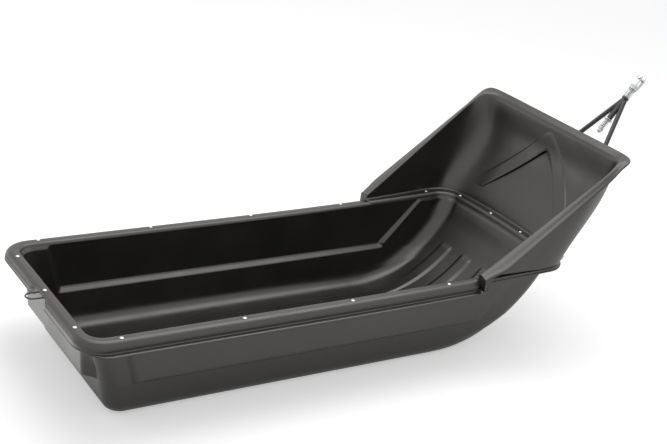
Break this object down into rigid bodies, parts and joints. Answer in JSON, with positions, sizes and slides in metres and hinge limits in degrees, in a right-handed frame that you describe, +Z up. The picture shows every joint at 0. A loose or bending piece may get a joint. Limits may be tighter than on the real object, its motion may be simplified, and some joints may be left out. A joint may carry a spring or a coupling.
{
  "type": "drag sled",
  "caption": "Formed plastic cargo sled with a framed rim, a snow deflector, a rear tow loop and a hinged V drawbar with a sprung swivel clevis.",
  "frame": {"origin": "centre of the bounding box's footprint, on the ground", "axes": "+X towards the drawbar (forwards), +Z up, +Y to the sled's left; XZ is its middle plane"},
  "size_m": [2.4563, 0.845, 0.8972],
  "materials": {
    "plastic": "black formed polyethylene, faint sheen, roughness 0.40",
    "black_paint": "black powder coat, semi-gloss",
    "zinc": "bright zinc plating",
    "rivets": "bare domed heads",
    "nylon": "natural nylon"
  },
  "bodies": {
    "sled": {"sled_shell": "plastic", "snow_deflector": "plastic", "rim_frame": "black_paint", "rivet_near_1": "rivets", "rivet_near_2": "rivets", "rivet_near_3": "rivets", "rivet_near_4": "rivets", "rivet_near_5": "rivets", "rivet_far_1": "rivets", "rivet_far_2": "rivets", "rivet_far_3": "rivets", "rivet_far_4": "rivets", "rivet_far_5": "rivets", "rivet_front_1": "rivets", "rivet_front_2": "rivets", "rivet_front_3": "rivets", "rivet_front_4": "rivets", "rivet_rear_1": "rivets", "rivet_rear_2": "rivets", "rivet_rear_3": "rivets", "rear_tow_loop": "black_paint", "hitch_lug_near": "black_paint", "pivot_bolt_near": "zinc", "pivot_nut_near": "zinc", "hitch_lug_far": "black_paint", "pivot_bolt_far": "zinc", "pivot_nut_far": "zinc"},
    "drawbar": {"drawbar_eye_near": "black_paint", "pivot_bush_near": "nylon", "drawbar_leg_near": "black_paint", "drawbar_eye_far": "black_paint", "pivot_bush_far": "nylon", "drawbar_leg_far": "black_paint", "drawbar_sleeve": "black_paint", "drawbar_collar": "black_paint", "sleeve_washer": "zinc", "rear_spring": "zinc", "front_spring": "zinc"},
    "damper": {"rear_washer": "zinc", "front_washer": "zinc"},
    "clevis": {"tow_rod": "zinc", "lock_nut": "zinc", "clevis_fork": "zinc", "clevis_pin": "zinc"},
    "clip": {"pin_clip": "zinc"}
  },
  "joints": [
    {"name": "drawbar_hinge", "type": "hinge", "parent": "sled", "child": "drawbar", "pos_m": [0.7275, 0, 0.294], "axis": [0, -1, 0], "range_deg": [-71, 24]},
    {"name": "damper_slide", "type": "slide", "parent": "drawbar", "child": "damper", "axis": [0.632, 0, 0.7749], "range_m": [-0.015, 0.02], "stiffness_N_per_m": 6000, "deforming": ["rear_spring", "front_spring"]},
    {"name": "clevis_swivel", "type": "hinge", "parent": "damper", "child": "clevis", "pos_m": [1.16992, 0, 0.83646], "axis": [0.632, 0, 0.7749], "continuous": true},
    {"name": "clip_slide", "type": "slide", "parent": "clevis", "child": "clip", "axis": [0.632, 0, 0.7749], "range_m": [0, 0.03]}
  ]
}
